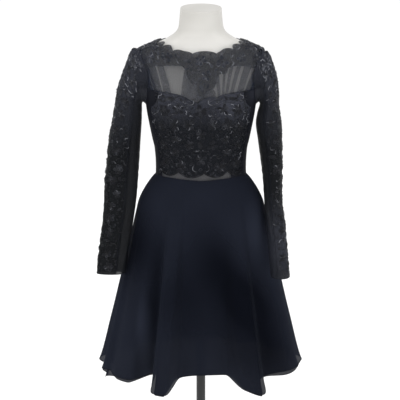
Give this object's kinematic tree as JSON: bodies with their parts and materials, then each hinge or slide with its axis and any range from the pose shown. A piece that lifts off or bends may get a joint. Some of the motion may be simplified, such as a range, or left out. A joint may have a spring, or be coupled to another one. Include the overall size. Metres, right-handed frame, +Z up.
{
  "type": "cocktail dress on dress form",
  "caption": "Navy chiffon cocktail dress with a black corded-lace bodice, sheer yoke and long lace sleeves, worn by a limbless dress form on a round-based stand.",
  "frame": {"origin": "centre of the stand base's underside, on the floor", "axes": "+Z up along the pole to the neck, -Y out of the dress's front, +X towards the viewer's right as the front is seen"},
  "size_m": [0.5743, 0.4768, 1.5163],
  "materials": {
    "navy_chiffon": "matt semi-sheer chiffon",
    "navy_satin": "soft satin",
    "black_tulle": "sheer fine tulle, drawn solid here",
    "black_lace": "corded and beaded lace",
    "white_form": "smooth satin white",
    "black_steel": "satin black powder coat",
    "zip_metal": "black enamelled zinc"
  },
  "bodies": {
    "root": {"back_zip": "navy_satin", "bodice_back_left": "navy_satin", "bodice_back_right": "navy_satin", "bodice_front": "navy_satin", "form_torso": "white_form", "lace_bodice": "black_lace", "lace_collar_back_left": "black_lace", "lace_collar_back_right": "black_lace", "lace_collar_front": "black_lace", "lace_sleeve_left": "black_lace", "lace_sleeve_right": "black_lace", "skirt_top_layer": "navy_chiffon", "skirt_under_layer": "navy_chiffon", "sleeve_left": "black_tulle", "sleeve_right": "black_tulle", "stand_base": "black_steel", "stand_pole": "black_steel", "stand_socket": "black_steel", "waist_inset": "black_tulle", "yoke_back_left": "black_tulle", "yoke_back_right": "black_tulle", "yoke_front": "black_tulle", "zip_slider": "zip_metal"},
    "pull": {"zip_pull": "zip_metal"}
  },
  "joints": [
    {"name": "zip_pull_swing", "type": "hinge", "parent": "root", "child": "pull", "pos_m": [0, 0.0701, 1.41144], "axis": [1, 0, 0], "range_deg": [0, 160]}
  ]
}
